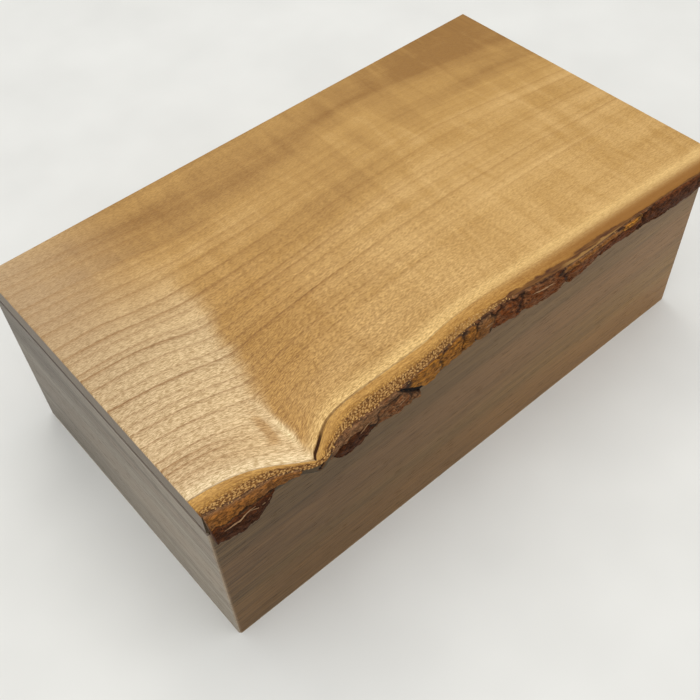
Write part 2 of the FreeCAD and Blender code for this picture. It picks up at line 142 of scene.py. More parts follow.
# Patches of bark: place from the left end and down from the top, half length, half height, tone from the
# golden inner layer (0) to the dark outer crust (1), and how far they stand between the wood and the strip.
BARK_PATCHES = {
    "bark_left": [(14, 0.2, 22, 0.36, 0.31, 0.72), (10, 0.82, 14, 0.44, 1.0, 1.0)],
    "bark_middle": [(62, 0.5, 24, 0.7, 0.54, 0.7), (53, 0.75, 8, 0.34, 0.98, 1.0),
                    (70, 0.6, 7, 0.35, 0.62, 0.85)],
    "bark_right": [(86, 0.4, 9, 0.6, 0.12, 0.6), (100, 0.45, 7, 0.5, 0.16, 0.75),
                   (107, 0.4, 4, 0.4, 0.2, 0.85), (115, 0.5, 5, 0.45, 0.36, 0.95),
                   (126, 0.55, 8, 0.5, 0.72, 0.9), (143, 0.5, 12, 0.5, 0.7, 1.0),
                   (164, 0.55, 12, 0.5, 0.7, 1.0), (184, 0.6, 13, 0.45, 0.8, 0.95),
                   (166, 0.06, 15, 0.14, 0.3, 0.95), (187, 0.08, 5, 0.16, 0.08, 0.9),
                   (219, 0.5, 25, 0.6, 0.93, 1.0)],
}
# Where no patch lies: how far the bark stands, its tone, and no crevice.
BARK_BETWEEN = (0.3, 0.66, 0.0)

# Thin pale slivers on the bark: place and depth of both ends, and half their thickness in millimetres.
BARK_SLIVERS = {
    "bark_left": [(3.4, 0.5, 15.0, 0.4, 0.3), (12.0, 0.43, 24.0, 0.62, 0.18)],
    "bark_middle": [(54.5, 0.44, 60.5, 0.4, 0.26), (68.0, 0.5, 75.0, 0.42, 0.15)],
    "bark_right": [(89.5, 0.62, 93.0, 0.55, 0.2), (112.5, 0.3, 117.0, 0.34, 0.26),
                   (135.0, 0.22, 146.0, 0.3, 0.34)],
}
SLIVER_STEPS = 18

# The bark's mesh: a seed for each strip, then in millimetres its steps and how it meets the lid's ends, the
# CAD strip and the wood.
BARK_SEEDS = {"bark_left": 11, "bark_middle": 23, "bark_right": 37}
BARK_ROWS = 44
BARK_STEP = 0.3
LID_END_BARE = 3.0
BARK_END_INSET = 0.3
STRIP_INSET = 0.1
BARK_LEAST = 0.3
BARK_SUNK = 0.12
BARK_BACK = 0.6

# The beads of the inner bark, with their sizes in millimetres.
BEAD_ROWS = 12
BEAD_ROW_GAP = 0.66
BEAD_FIRST_ROW = 0.25
BEAD_SPACING = 1.3
BEAD_HALF_SIZE = (0.68, 0.33, 0.22)
BEAD_SCATTER = (0.5, 0.16, 0.05)
BEAD_LEAN = 0.25
BEAD_SINK = 0.27
BEAD_SEED = 3
BEAD_START = 0.6
BEAD_SWAY = 0.3
BEAD_ROW_SHORTER = 4.0

# How many screws each group has in X and Y, and their sizes in millimetres, a little inside the CAD screws.
SCREW_GRIDS = {"keeper_screws": (2, 1), "batten_screws": (2, 3)}
CAD_SCREW_HEAD = 7.0
SCREW_HEAD = 6.8
SCREW_SHANK = 3.4
SCREW_SLOT = 0.9
SCREW_RAISED = 0.1
SCREW_SHORTER = 0.4
SCREW_SIDES = 40

# Lamps, all aimed at the box: place, size, power and colour.
LAMPS = {
    "ceiling": ((-0.1, -0.15, 1.5), 1.6, 15.0, (1.0, 0.98, 0.95)),
    "sheen": ((0.3, 0.74, 1.3), 0.6, 3.0, (1.0, 0.97, 0.92)),
    "left": ((-1.2, -0.3, 0.7), 1.0, 2.0, (0.92, 0.96, 1.0)),
    "right": ((1.0, -0.9, 0.7), 1.0, 2.5, (1.0, 0.98, 0.95)),
}
LAMP_AIM = Vector((0, 0, 0.05))
SKY_COLOUR = (0.95, 0.97, 1.0, 1.0)
SKY_STRENGTH = 0.45
FLOOR_HALF = 3.0

# Camera, found from the box's own corners in the photograph.
CAMERA_PLACE = Vector((-0.1686, -0.2007, 0.3125))
CAMERA_AIM = Vector((-0.0563, -0.0576, 0.0724))
CAMERA_ROLL = math.radians(-3.6)
CAMERA_LENS = 47.65
CAMERA_RISE = 0.0714
CAMERA_NEAR = 0.01


def srgb(red, green, blue):
    """A colour as the eye reads it, from 0 to 255, in the linear values that a shader takes."""
    linear = []
    for level in (red, green, blue):
        share = level / 255
        linear.append(share / 12.92 if share <= 0.04045 else ((share + 0.055) / 1.055) ** 2.4)
    return (*linear, 1.0)


def smooth_line(points, places):
    """Heights of a smooth line through points, at the given places. It never overshoots a point."""
    across, up = np.array(points, float).T
    step = np.diff(across)
    slope = np.diff(up) / step
    same_way = slope[:-1] * slope[1:] > 0
    total = np.where(same_way, slope[:-1] + slope[1:], 1.0)
    inner = np.where(same_way, 2 * slope[:-1] * slope[1:] / total, 0.0)
    tangent = np.concatenate([slope[:1], inner, slope[-1:]])
    cell = np.clip(np.searchsorted(across, places) - 1, 0, len(step) - 1)
    t = (places - across[cell]) / step[cell]
    rise = up[cell + 1] - up[cell]
    curve = up[cell] + rise * t * t * (3 - 2 * t)
    curve += step[cell] * t * (1 - t) * ((1 - t) * tangent[cell] - t * tangent[cell + 1])
    return curve


def smoothstep(low, high, value):
    t = np.clip((value - low) / (high - low), 0, 1)
    return t * t * (3 - 2 * t)


def bump_shape(value, middle, half):
    """A soft bump of height 1 about a middle."""
    return np.exp(-((value - middle) / half) ** 2)


# Where handling has rubbed the carcass pale, in millimetres from its corners and its foot, and how far the
# painted shadow in the seam reaches over the long walls and over the ends.
WORN_WALNUT = srgb(186, 160, 128)
WORN_FROM = 1.1
WORN_FOOT_FROM = 1.2
WORN_FULL = 0.1
SEAM_SHADOW_BROWN = srgb(66, 34, 21)
SEAM_ON_LONG_WALLS = 0.5
SEAM_ON_ENDS = 1.0
SEAM_FADE = 0.4


class Nodes:
    """A node tree in the making. Each call adds a node and gives back its output."""

    def __init__(self, tree):
        self.tree = tree

    def feed(self, socket, value):
        if isinstance(value, bpy.types.NodeSocket):
            self.tree.links.new(value, socket)
        else:
            socket.default_value = value

    def add(self, kind, inputs, output=0, **settings):
        node = self.tree.nodes.new(kind)
        for name, value in settings.items():
            setattr(node, name, value)
        for key, value in inputs.items():
            self.feed(node.inputs[key], value)
        return node.outputs[output]

    def math(self, operation, first, second=0, third=0):
        return self.add("ShaderNodeMath", {0: first, 1: second, 2: third}, operation=operation)


class Finish(Nodes):
    """A material in the making, with the colour that it has so far."""

    def __init__(self, name):
        self.material = bpy.data.materials.new(name)
        self.material.use_nodes = True
        super().__init__(self.material.node_tree)
        self.shader = self.tree.nodes["Principled BSDF"]
        self.colour = None

    def times(self, first, *others):
        for other in others:
            first = self.math("MULTIPLY", first, other)
        return first

    def weigh(self, value, weight, rest):
        """A value times its weight, plus the rest."""
        return self.math("MULTIPLY_ADD", value, weight, rest)

    def less(self, share):
        """What a share leaves of 1."""
        return self.math("SUBTRACT", 1, share)

    def place(self, scale=(1, 1, 1)):
        """Object coordinates in millimetres, scaled."""
        own = self.add("ShaderNodeTexCoord", {}, "Object")
        return self.stretch(own, [part / MM for part in scale])

    def axis(self, vector, name):
        return self.add("ShaderNodeSeparateXYZ", {"Vector": vector}, name)

    def attribute(self, name):
        return self.add("ShaderNodeAttribute", {}, "Fac", attribute_name=name)

    def stretch(self, vector, scale, shift=(0, 0, 0), turn=0):
        """A vector scaled, shifted and turned about Z."""
        inputs = {"Vector": vector, "Scale": scale, "Location": shift, "Rotation": (0, 0, turn)}
        return self.add("ShaderNodeMapping", inputs)

    def noise(self, vector, scale=1, detail=2, roughness=0.5, distortion=0):
        inputs = {"Vector": vector, "Scale": scale, "Detail": detail, "Roughness": roughness,
                  "Distortion": distortion}
        return self.add("ShaderNodeTexNoise", inputs, "Fac")

    def span(self, value, low, high, start=0, end=1):
        """Value from low to high, mapped smoothly to start and end."""
        inputs = {"Value": value, "From Min": low, "From Max": high, "To Min": start, "To Max": end}
        return self.add("ShaderNodeMapRange", inputs, interpolation_type="SMOOTHSTEP")

    def ramp(self, value, stops):
        colour = self.add("ShaderNodeValToRGB", {"Fac": value})
        elements = colour.node.color_ramp.elements
        while len(elements) < len(stops):
            elements.new(1)
        for element, stop in zip(elements, stops):
            element.position, element.color = stop
        return colour

    def mix(self, share, first, second, blend="MIX"):
        inputs = {0: share, 6: first, 7: second}
        return self.add("ShaderNodeMix", inputs, 2, data_type="RGBA", blend_type=blend)

    def coat(self, share, colour, blend="MIX"):
        """Another colour over those so far."""
        self.colour = self.mix(share, self.colour, colour, blend)

    def curve(self, value, points):
        """A free curve from 0 to 1 through points, straight between them."""
        height = self.add("ShaderNodeFloatCurve", {"Value": value})
        mapping = height.node.mapping
        line = mapping.curves[0]
        line.points[0].location = points[0]
        line.points[1].location = points[-1]
        for point in points[1:-1]:
            line.points.new(*point)
        for point in line.points:
            point.handle_type = "VECTOR"
        mapping.extend = "HORIZONTAL"
        mapping.update()
        return height

    def bump(self, height, strength, distance):
        inputs = {"Height": height, "Strength": strength, "Distance": distance * MM}
        self.feed(self.shader.inputs["Normal"], self.add("ShaderNodeBump", inputs))

    def surface(self, roughness, metallic=0, specular=0.5):
        self.feed(self.shader.inputs["Base Color"], self.colour)
        self.feed(self.shader.inputs["Roughness"], roughness)
        self.shader.inputs["Metallic"].default_value = metallic
        self.shader.inputs["Specular IOR Level"].default_value = specular
        return self.material


def worn_edges(finish, spot):
    """How near a place is to the carcass's outer corners and its foot, where handling has rubbed it pale."""
    near = []
    for axis, reach in (("X", HALF_LENGTH), ("Y", HALF_WIDTH)):
        away = finish.math("ABSOLUTE", finish.axis(spot, axis))
        near.append(finish.span(away, reach - WORN_FROM, reach - WORN_FULL))
    corner = finish.times(*near)
    foot = finish.span(finish.axis(spot, "Z"), WORN_FOOT_FROM, WORN_FULL)
    foot = finish.times(finish.math("MAXIMUM", *near), foot)
    patchy = finish.span(finish.noise(spot, 0.25, 3), 0.3, 0.6, 0.2, 1)
    return finish.times(finish.math("MAXIMUM", corner, foot), patchy)


def seam_shade(finish, spot, low, high):
    """Painted shadow of the seam's gap on upright faces, between two heights in millimetres."""
    facing = finish.axis(finish.add("ShaderNodeNewGeometry", {}, "Normal"), "Z")
    upright = finish.span(finish.math("ABSOLUTE", facing), 0.9, 0.5)
    return finish.times(finish.span(finish.axis(spot, "Z"), low, high), upright)


def walnut(name, along, tones, start=1, end=1, golden=0, crisp=0.16):
    """Oiled walnut. Its grain runs along X or Y, in soft bands, long fine lines and open pores.

    The board is darker or paler at its start and its end by two shares, painted shade and light falling
    along it, more golden at its foot, and its fine lines are crisper at its start."""
    dark, middle, light, warm = tones
    lengthwise = along == "x"
    finish = Finish(name)
    spot = finish.place()
    grain = finish.stretch(spot, (0.025, 1, 1) if lengthwise else (1, 0.025, 1))
    figure = finish.noise(grain, 0.07, 3, 0.5, 0.6)
    streaks = finish.noise(grain, 0.5, 3, 0.6, 0.3)
    tone = finish.weigh(streaks, 0.4, finish.times(figure, 0.6))
    finish.colour = finish.ramp(tone, [(0.36, dark), (0.5, middle), (0.64, light)])
    blush = finish.noise(finish.stretch(grain, (1, 1, 1), (7, 7, 7)), 0.06, 2)
    finish.coat(finish.times(finish.span(blush, 0.42, 0.6), 0.6), warm)

    reach = HALF_LENGTH if lengthwise else HALF_WIDTH
    board = finish.axis(spot, along.upper())
    # Painted shade and light along the board, from its start to its end.
    finish.coat(1, finish.span(board, -reach, reach, start, end), "MULTIPLY")
    fibres = finish.noise(finish.stretch(grain, (1.6, 1.6, 1.6)), 1, 3, 0.6)
    fibres = finish.span(fibres, 0.3, 0.7)
    contrast = finish.span(board, -reach, -0.2 * reach, crisp, 0.16)
    finish.coat(contrast, fibres, "OVERLAY")
    foot = finish.span(finish.axis(spot, "Z"), 48, 12, 0, golden)
    finish.coat(foot, (1.13, 1.08, 0.85, 1), "MULTIPLY")

    pores = finish.stretch(grain, (6, 2.6, 2.6) if lengthwise else (2.6, 6, 2.6))
    pores = finish.span(finish.noise(pores, 1, 1), 0.62, 0.72)
    finish.coat(finish.times(pores, 0.5), dark, "MULTIPLY")
    finish.coat(finish.times(worn_edges(finish, spot), 0.5), WORN_WALNUT)
    # Painted shadow in the seam's gap, along the wall's top.
    rim = SEAM_HEIGHT - (SEAM_ON_LONG_WALLS if lengthwise else SEAM_ON_ENDS)
    seam = seam_shade(finish, spot, rim - SEAM_FADE, rim)
    finish.coat(finish.times(seam, 0.85), SEAM_SHADOW_BROWN)
    finish.bump(finish.math("SUBTRACT", fibres, pores), 0.3, 0.12)
    return finish.surface(finish.span(pores, 0, 1, 0.5, 0.7), specular=0.3)


def plain_wood(name, along, dark, light):
    """Planed wood of the inner pieces, with a quiet straight grain along X or Y."""
    finish = Finish(name)
    grain = finish.place({"x": (0.06, 1, 1), "y": (1, 0.06, 1)}[along])
    streaks = finish.noise(grain, 0.35, 4, 0.6, 0.5)
    finish.colour = finish.ramp(streaks, [(0.3, dark), (0.68, light)])
    fibres = finish.noise(grain, 2.4, 2)
    finish.coat(0.2, fibres, "OVERLAY")
    finish.bump(fibres, 0.15, 0.08)
    return finish.surface(0.5)


def turned_brass(name):
    """Brass off the lathe, with fine rings and a little tarnish."""
    finish = Finish(name)
    tarnish = finish.noise(finish.place(), 0.5, 3)
    finish.colour = finish.ramp(tarnish, [(0.35, srgb(150, 112, 55)), (0.65, srgb(214, 176, 98))])
    rings = finish.noise(finish.place((0.4, 6, 0.4)), 1, 1)
    finish.bump(rings, 0.15, 0.03)
    return finish.surface(finish.span(tarnish, 0.3, 0.7, 0.42, 0.26), metallic=1)


def growth_lines(finish, depth):
    """Darkness of the growth lines, by which growth ring a place is on."""
    total = 0
    for start in GROWTH_STARTS:
        points = [(0, 0), (1, 0)]
        for place, darkness in GROWTH_LINES:
            if start <= place < start + GROWTH_REACH - 1:
                wide = 1 + place / GROWTH_WIDENING
                for before, share in GROWTH_PROFILE:
                    points.append(((place - before * wide - start) / GROWTH_REACH, darkness * share))
        along = finish.weigh(depth, 1 / GROWTH_REACH, -start / GROWTH_REACH)
        total = finish.math("ADD", total, finish.curve(along, sorted(points)))
    return total


class PlanedCherry(Finish):
    """The lid's planed faces and bare edge, coloured in layers from the wood out to the bark.

    The mesh says which growth ring a place is on, how far behind the last ring it is, how far out through
    the bark, and how it lies to the branch, the knot and the split."""

    def __init__(self):
        super().__init__("cherry_planed")
        self.spot = self.place()
        self.along = self.axis(self.spot, "X")
        self.depth = self.attribute("ring_depth")
        self.inside = self.attribute("inside")
        self.band = self.attribute("bark_band")
        self.crack = self.attribute("crack")
        self.flow = self.add("ShaderNodeCombineXYZ", {"X": self.along, "Y": self.depth})
        self.streaks = self.grain(0.1, 1.2, 3, 0.6)
        ripple = self.stretch(self.flow, (0.62, 2.6, 1), turn=0.1)
        self.flecks = self.span(self.noise(ripple, 1, 3, 0.65, 0.7), 0.34, 0.66)
        # The flecks' dark and bright sides: fine figure with painted shade and painted sheen.
        dark_side, bright_side = (0.53, 0.45, 0.32, 1), (1.08, 1.09, 1.12, 1)
        self.fleck_shade = self.ramp(self.flecks, [(0, dark_side), (1, bright_side)])
        self.beaded = self.by_place(PEBBLES_END - 40, PEBBLES_END - 10, 1, 0)

    def grain(self, along, across, detail=2, roughness=0.5, distortion=0, shift=(0, 0, 0)):
        """Noise drawn out along the growth rings, by its scales along and across them."""
        drawn_out = self.stretch(self.flow, (along, across, 1), shift)
        return self.noise(drawn_out, 1, detail, roughness, distortion)

    def by_place(self, low, high, start=0, end=1):
        """A smooth change between two places, in millimetres from the lid's left end."""
        return self.span(self.along, low - HALF_LENGTH, high - HALF_LENGTH, start, end)

    def ring_lines(self):
        """Darkness of the growth lines. They waver, and fade in patches, by the knot and to the right."""
        sway = self.grain(0.035, 0.25)
        fray = self.grain(0.3, 1.2, 1)
        wavy = self.weigh(sway, 1.6, self.weigh(fray, 0.4, -1))
        lines = growth_lines(self, self.math("ADD", self.depth, wavy))
        patchy = self.span(self.grain(0.02, 0.1), 0.3, 0.6, 0.55, 1)
        knot = self.times(self.by_place(14, 30, 0, 0.55), self.span(self.depth, 42, 28))
        return self.times(lines, patchy, self.by_place(50, 150, 1.12, 0.5), self.less(knot))

    def bead_outlines(self):
        """Dark net round the beads of the inner bark, the bark's own dark with painted shade between the
        beads, coming up towards them.
        """
        cells = self.stretch(self.flow, (0.75, 1.5, 1), turn=0.25)
        inputs = {"Vector": cells, "Scale": 1}
        edge = self.add("ShaderNodeTexVoronoi", inputs, "Distance", feature="DISTANCE_TO_EDGE")
        net = self.span(edge, 0.02, 0.2, 1, 0)
        return self.times(net, self.span(self.band, 0.35, BEADS), self.beaded)

    def heartwood(self):
        """The plain wood: clouds along the grain, curl across it, darker to the back (heartwood and painted
        shade), duller at the left (painted sheen).
        """
        clouds = self.grain(0.008, 0.07, 3, 0.55, 0.5)
        curl = self.noise(self.stretch(self.spot, (0.11, 0.02, 1)), 1, 3, 0.6, 0.8)
        tone = self.weigh(clouds, 0.36, self.weigh(curl, 0.22, 0.205))
        # Heartwood and painted shade darken the back.
        tone = self.weigh(self.attribute("heart_and_back_shade"), -0.235, tone)
        self.colour = self.ramp(tone, [(0.26, srgb(152, 110, 52)), (0.42, srgb(190, 148, 82)),
                                       (0.55, srgb(215, 175, 111)), (0.68, srgb(229, 196, 138))])
        # Painted sheen: the left end washed towards a dull pinkish tan.
        self.coat(self.by_place(0, 58, 0.64, 0), srgb(191, 166, 133))

    def branch_glow(self):
        """The grain turns over the buried branch, so it glows left of it and is in shade right of it."""
        wander = self.grain(0.06, 0.14)
        past = self.weigh(wander, 10, self.math("SUBTRACT", self.attribute("branch"), 5))
        right = self.span(past, -5, 5)
        near = self.attribute("branch_near")
        glow = self.times(self.span(past, -75, 0, 0.4, 1), self.less(right), near, 0.6)
        self.coat(glow, srgb(242, 216, 170))
        shade = self.times(self.span(past, 0, 70, 1, 0), right, near, 0.65)
        self.coat(shade, srgb(180, 132, 54))

    def knot_flames(self):
        """Brown and pale flames beside the knot."""
        frayed = self.math("SUBTRACT", self.streaks, 0.5)
        flame = self.weigh(frayed, 0.8, self.attribute("knot_flame"))
        self.coat(self.span(flame, -0.3, -1.1, 0, 0.7), srgb(180, 136, 74))
        self.coat(self.span(flame, 0.3, 1.3, 0, 0.6), srgb(250, 228, 178))

    def sapwood(self):
        """The last wood before the bark: cream left of the knot, golden right of it."""
        near = self.span(self.weigh(self.streaks, -5, self.inside), -2.5, 5, 1, 0)
        near = self.times(near, self.by_place(35, 70, 0.6, 0.9))
        pale = self.mix(self.by_place(KNOT - 3, KNOT + 5), srgb(250, 228, 184), srgb(240, 203, 134))
        self.coat(near, pale)

    def dark_lines(self, lines):
        """Growth lines, and painted light on the left end's front, with painted shade behind it."""
        self.coat(self.times(lines, 0.88), srgb(146, 99, 40))
        # Painted light at the front of the left end, painted shade further back.
        painted_front_light = self.span(self.depth, 12, 60, 1.06, 0.94)
        left = self.times(self.by_place(70, 40), self.span(self.depth, 110, 70))
        self.coat(left, painted_front_light, "MULTIPLY")

    def silky_flecks(self):
        """Silky flecks, fine figure with painted sheen and shade, fainter to the right and the back, and
        short dark dashes.
        """
        silky = self.times(self.by_place(60, 180, 1, 0.45), self.span(self.depth, 40, 110, 1, 0.55))
        self.coat(silky, self.fleck_shade, "MULTIPLY")
        dashes = self.span(self.grain(0.3, 2.2, 1, shift=(3, 9, 0)), 0.7, 0.78)
        self.coat(self.times(dashes, 0.35), srgb(140, 96, 50))

    def inner_bark(self):
        """The tan band past the last ring. Its edge is sharp on the left and soft on the right."""
        tan = self.ramp(self.streaks, [(0.3, srgb(172, 124, 52)), (0.7, srgb(214, 166, 88))])
        tan = self.mix(0.75, tan, self.fleck_shade, "MULTIPLY")
        tan = self.mix(self.by_place(90, 180, 0, 0.9), tan, srgb(140, 92, 32))
        left = self.by_place(80, 140, 1, 0)
        sharp = self.times(self.span(self.band, LAST_RING, INNER_BARK), left)
        soft = self.times(self.span(self.inside, 4, -2.5), self.less(left))
        self.coat(self.math("ADD", sharp, soft), tan)

    def bead_ground(self, outlines):
        """The beads' outlines, and the pitted ground that they stand in, dark of its own and with painted
        shade between the beads.
        """
        # Painted shade between the beads, over the bark's own darker ground.
        self.coat(self.times(outlines, 0.65), srgb(104, 64, 18))
        pits = self.ramp(self.flecks, [(0.2, srgb(84, 50, 14)), (0.8, srgb(132, 88, 34))])
        self.coat(self.times(self.span(self.band, 0.98, 1.12), self.beaded), pits)

    def bark_crust(self):
        """Outer bark cut by the plane towards the right, a pale flake on it, and the bare edge below, its
        wood darkened with painted shade.
        """
        ragged = self.weigh(self.grain(0.2, 0.5, 3), 0.8, self.band)
        crust = self.times(self.span(ragged, 1.45, 1.65), self.by_place(108, 126))
        outer = self.ramp(self.streaks, [(0.35, srgb(76, 40, 14)), (0.65, srgb(124, 82, 32))])
        self.coat(crust, outer)
        flake = self.times(self.by_place(148, 156), self.by_place(186, 178), self.span(ragged, 1.95, 2.05))
        self.coat(flake, srgb(146, 108, 56))
        # The bare edge: its own wood, darkened with painted shade under the overhang.
        bare = self.ramp(self.streaks, [(0.3, srgb(54, 42, 26)), (0.7, srgb(96, 76, 48))])
        self.coat(self.span(self.band, 2.1, 2.4), bare)

    def split(self):
        """The split along the last ring: brown where it is a line, and black where it gapes, a painted
        shadow in the gap.
        """
        brown = self.mix(self.span(self.crack, 0.75, 1), srgb(98, 58, 8), srgb(54, 28, 4))
        self.coat(self.crack, brown)
        # Painted shadow: black where the split gapes.
        self.coat(self.span(self.crack, 1, 1.8), srgb(12, 7, 4))


def cherry_top():
    """The lid's planed faces and bare edge, with the layers of their colour in order."""
    wood = PlanedCherry()
    lines = wood.ring_lines()
    outlines = wood.bead_outlines()
    wood.heartwood()
    wood.branch_glow()
    wood.knot_flames()
    wood.sapwood()
    wood.dark_lines(lines)
    wood.silky_flecks()
    wood.inner_bark()
    wood.bead_ground(outlines)
    wood.bark_crust()
    wood.split()
    relief = wood.weigh(outlines, -1.5, wood.math("SUBTRACT", wood.flecks, lines))
    wood.bump(relief, 0.2, 0.12)
    roughness = wood.math("MAXIMUM", wood.span(wood.band, LAST_RING, 1.2, 0.42, 0.75), wood.crack)
    return wood.surface(roughness, specular=0.3)


def cherry_end():
    """End grain of the lid board, with its rings leaning outwards as they go down; grey-brown as in painted
    cool shade, warmer at the right end.
    """
    lean = 0.3
    finish = Finish("cherry_end_grain")
    spot = finish.place()
    leaning = finish.weigh(finish.axis(spot, "Z"), -lean, finish.axis(spot, "Y"))
    depth = finish.math("ADD", leaning, lean * LID_HIGH / MM + HALF_WIDTH)
    depth = finish.weigh(finish.noise(spot, 0.15, 2), 2, depth)
    pores = finish.noise(spot, 3, 3, 0.7)
    # Grey-brown end grain: painted cool shade.
    finish.colour = finish.ramp(pores, [(0.3, srgb(104, 92, 78)), (0.7, srgb(144, 130, 112))])
    finish.coat(finish.times(growth_lines(finish, depth), 0.5), srgb(96, 78, 60))
    # The right end is warmer, out of the painted cool shade of the left end.
    right_end = finish.span(finish.axis(spot, "X"), -10, 10)
    finish.coat(right_end, (1.2, 1.02, 0.76, 1), "MULTIPLY")
    # Painted shadow in the seam's gap, along the foot of the end grain.
    rim = SEAM_HEIGHT + SEAM_ON_ENDS
    finish.coat(seam_shade(finish, spot, rim + SEAM_FADE, rim), SEAM_SHADOW_BROWN)
    finish.bump(pores, 0.3, 0.1)
    return finish.surface(0.6)


def bark_finish():
    """Bark: a dark crust over brown flakes and a fibrous golden inner layer."""
    finish = Finish("cherry_bark")
    fibre = finish.noise(finish.place((0.45, 1.7, 1.7)), 1.1, 4, 0.65, 0.8)
    lumps = finish.noise(finish.place((0.7, 1, 1)), 0.5, 4, 0.62)
    layer = finish.attribute("tone")
    tone = finish.math("ADD", layer, finish.weigh(lumps, 0.5, -0.25))
    finish.colour = finish.ramp(tone, [(0, srgb(174, 117, 36)), (0.15, srgb(142, 92, 32)),
                                       (0.3, srgb(124, 78, 32)), (0.52, srgb(126, 91, 60)),
                                       (0.75, srgb(106, 55, 18)), (1, srgb(64, 34, 14))])
    finish.coat(0.75, finish.span(fibre, 0.28, 0.72), "OVERLAY")
    gold = finish.times(finish.span(layer, 0.15, 0.25, 1, 0.1), finish.span(fibre, 0.36, 0.5, 1, 0))
    finish.coat(finish.times(gold, 0.75), srgb(74, 42, 18))
    pale = finish.times(finish.attribute("pale"), finish.span(fibre, 0.3, 0.6, 0.6, 1))
    finish.coat(pale, srgb(160, 126, 92))
    # Near-black crevices between the plates and at the strips' broken ends: the bark's own dark and painted
    # shade in the hollows.
    finish.coat(finish.attribute("crevice"), srgb(26, 15, 9))
    finish.bump(fibre, 0.5, 0.4)
    return finish.surface(finish.span(lumps, 0.3, 0.7, 0.7, 0.88), specular=0.16)


def pebble_finish():
    """Pale grains of the inner bark, cut through by the plane."""
    finish = Finish("inner_bark_pebble")
    tone = finish.noise(finish.place(), 0.8, 2)
    finish.colour = finish.ramp(tone, [(0.3, srgb(146, 103, 48)), (0.5, srgb(175, 131, 68)),
                                       (0.7, srgb(198, 155, 90))])
    return finish.surface(0.66)


def linked(name, data):
    """A new object in the scene."""
    thing = bpy.data.objects.new(name, data)
    bpy.context.scene.collection.objects.link(thing)
    return thing


def aim(thing, place, target, roll=0):
    """Put a lamp or the camera in its place and turn it to a target."""
    thing.location = place
    thing.rotation_mode = "QUATERNION"
    look = (target - Vector(place)).to_track_quat("-Z", "Y")
    thing.rotation_quaternion = look @ Quaternion((0, 0, 1), roll)


def new_piece(name, corners, faces, materials, attributes=None):
    mesh = bpy.data.meshes.new(name)
    mesh.from_pydata(corners, [], faces)
    for material in materials:
        mesh.materials.append(material)
    for key, values in (attributes or {}).items():
        layer = mesh.attributes.new(key, "FLOAT", "POINT")
        layer.data.foreach_set("value", np.asarray(values, np.float32).ravel())
    mesh.polygons.foreach_set("use_smooth", [True] * len(mesh.polygons))
    return linked(name, mesh)


def surface_of(*nodes):
    """The outside of some CAD nodes, ready to be read from the front."""
    corners, faces = [], []
    for name in nodes:
        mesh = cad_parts[name].data
        first = len(corners)
        corners += [vertex.co.copy() for vertex in mesh.vertices]
        faces += [[first + index for index in face.vertices] for face in mesh.polygons]
    return BVHTree.FromPolygons(corners, faces)


def front_edge(surface, x, z):
    """How far behind the front wall's face a surface lies, read from the front at one place, or None."""
    start = Vector((LEFT_END + x * MM, BEFORE_FRONT, LID_LOW + z * MM))
    hit = surface.ray_cast(start, Vector((0, 1, 0)))[0]
    return None if hit is None else (hit.y - FRONT_FACE) / MM


def loop_faces(columns, rows):
    """Quads of a tube whose sections are closed loops, with a face over each end."""
    faces = []
    for column in range(columns - 1):
        first, second = column * rows, (column + 1) * rows
        for row in range(rows):
            after = (row + 1) % rows
            faces.append((first + row, first + after, second + after, second + row))
    faces.append(tuple(reversed(range(rows))))
    faces.append(tuple((columns - 1) * rows + row for row in range(rows)))
    return faces


def frame_points(x, y, z):
    """Points in metres from places in millimetres: from the left end, behind the front, above the seam."""
    points = np.stack([LEFT_END + x * MM, FRONT_FACE + y * MM, LID_LOW + z * MM], -1)
    return points.reshape(-1, 3).tolist()


def growth_depth(x, y):
    """Which growth ring each place is on, named by the ring's distance behind the front at the left end."""
    front = np.array(GROWTH_GUIDES[0], float)
    back = np.array(GROWTH_GUIDES[-1], float)
    guides = [front - (0, GUIDE_PAST_ENDS), *GROWTH_GUIDES, back + (0, GUIDE_PAST_ENDS)]
    names = [guide[0][1] for guide in guides]
    lines = np.array([smooth_line(guide, x) for guide in guides])
    return np.array([np.interp(y[i], lines[:, i], names) for i in range(len(x))])


def lid_columns():
    """Places along the lid for its sections, close together at both ends, where the edges are eased."""
    ease = np.array([0, 0.15, 0.5, 1]) * EDGE_EASE
    middle = np.arange(1, LID_LENGTH - 0.5, SECTION_STEP)
    return np.concatenate([ease, middle, LID_LENGTH - ease[::-1]])


